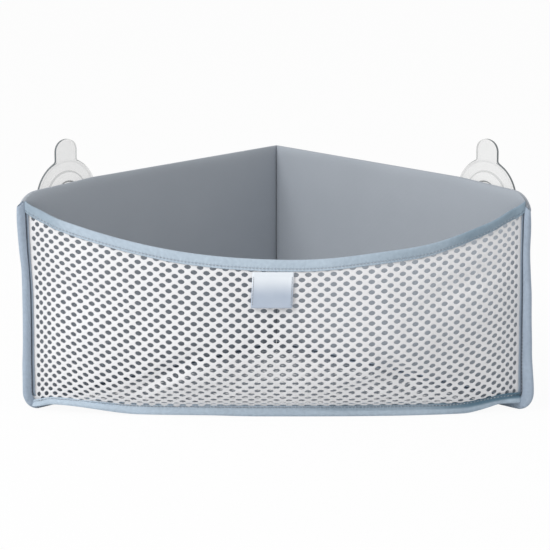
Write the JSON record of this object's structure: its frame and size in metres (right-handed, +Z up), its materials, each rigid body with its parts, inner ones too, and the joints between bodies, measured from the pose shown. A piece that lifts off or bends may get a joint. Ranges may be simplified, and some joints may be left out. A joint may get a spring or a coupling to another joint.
{
  "type": "corner bath toy organizer",
  "caption": "Corner bath toy organizer: stiffened cloth walls at a right angle, a bellied mesh front and floor bound with tape, and tabbed suction cups that turn on studs behind the walls.",
  "frame": {"origin": "under the middle of the object's box, on the plane of the bindings' lower edges", "axes": "+X to the right seen from the front, +Y back into the corner between the walls, +Z up"},
  "size_m": [0.4372, 0.2692, 0.2275],
  "materials": {
    "lining_cloth": "smooth grey knit",
    "cover_cloth": "smooth grey knit",
    "board_plastic": "plain sheet",
    "binding_tape": "folded woven tape",
    "white_mesh": "knitted mesh with oval holes",
    "grey_mesh": "knitted mesh with oval holes",
    "label_vinyl": "bare soft vinyl",
    "eyelet_plastic": "moulded",
    "cup_vinyl": "cloudy soft vinyl"
  },
  "bodies": {
    "organizer": {"left_wall_lining": "lining_cloth", "left_wall_board": "board_plastic", "left_wall_cover": "cover_cloth", "left_wall_binding": "binding_tape", "left_eyelet": "eyelet_plastic", "right_wall_lining": "lining_cloth", "right_wall_board": "board_plastic", "right_wall_cover": "cover_cloth", "right_wall_binding": "binding_tape", "right_eyelet": "eyelet_plastic", "front_mesh": "white_mesh", "front_top_binding": "binding_tape", "front_bottom_binding": "binding_tape", "floor_mesh": "grey_mesh", "label": "label_vinyl"},
    "left_cup": {"left_suction_cup": "cup_vinyl"},
    "right_cup": {"right_suction_cup": "cup_vinyl"}
  },
  "joints": [
    {"name": "left_cup_swivel", "type": "hinge", "parent": "organizer", "child": "left_cup", "pos_m": [-0.17324, -0.04536, 0.177], "axis": [-0.7071, 0.7071, 0], "continuous": true},
    {"name": "right_cup_swivel", "type": "hinge", "parent": "organizer", "child": "right_cup", "pos_m": [0.17324, -0.04536, 0.177], "axis": [0.7071, 0.7071, 0], "continuous": true}
  ]
}
